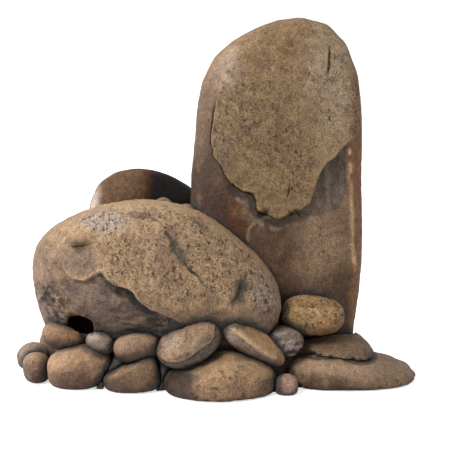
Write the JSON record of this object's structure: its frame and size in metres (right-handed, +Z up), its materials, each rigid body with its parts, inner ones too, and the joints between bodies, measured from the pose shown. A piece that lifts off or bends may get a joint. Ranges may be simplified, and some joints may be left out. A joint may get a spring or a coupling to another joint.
{
  "type": "cave ornament",
  "caption": "Hollow cave ornament of resin river stones: a tall upright stone, a broad cave boulder and a rear boulder, with flat stones and pebbles round the foot.",
  "frame": {"origin": "on the floor, midway between the ornament's left and right ends and between its front and back", "axes": "+X towards the upright stone's side (right, seen from the front), +Y to the back, +Z up"},
  "size_m": [0.2632, 0.1549, 0.2315],
  "materials": {
    "boulder_paint": "hand-painted filled resin: brown base with dry-brushed ochre and grey-blue wash in the cracks",
    "pebble_paint": "hand-painted filled resin: ochre and tan tops over mauve-brown sides",
    "bed_paint": "dark grey-brown wash over filled resin"
  },
  "bodies": {
    "root": {"upright_stone": "boulder_paint", "cave_boulder": "boulder_paint", "rear_boulder": "boulder_paint", "flat_stone_lower": "pebble_paint", "flat_stone_upper": "pebble_paint", "front_boulder": "pebble_paint", "tilted_slab_stone": "pebble_paint", "wedge_stone": "pebble_paint", "left_front_stone": "pebble_paint", "ridge_stone": "pebble_paint", "left_end_stone": "pebble_paint", "left_corner_stone": "pebble_paint", "hole_stone": "pebble_paint", "small_grey_stone": "pebble_paint", "oval_stone": "pebble_paint", "block_stone": "pebble_paint", "gap_stone": "pebble_paint", "tip_stone": "pebble_paint", "crest_stone_left": "pebble_paint", "crest_stone_right": "pebble_paint", "rear_left_stone": "pebble_paint", "rear_middle_stone": "pebble_paint", "rear_right_stone": "pebble_paint", "rear_tip_stone": "pebble_paint", "resin_bed": "bed_paint"}
  },
  "joints": []
}
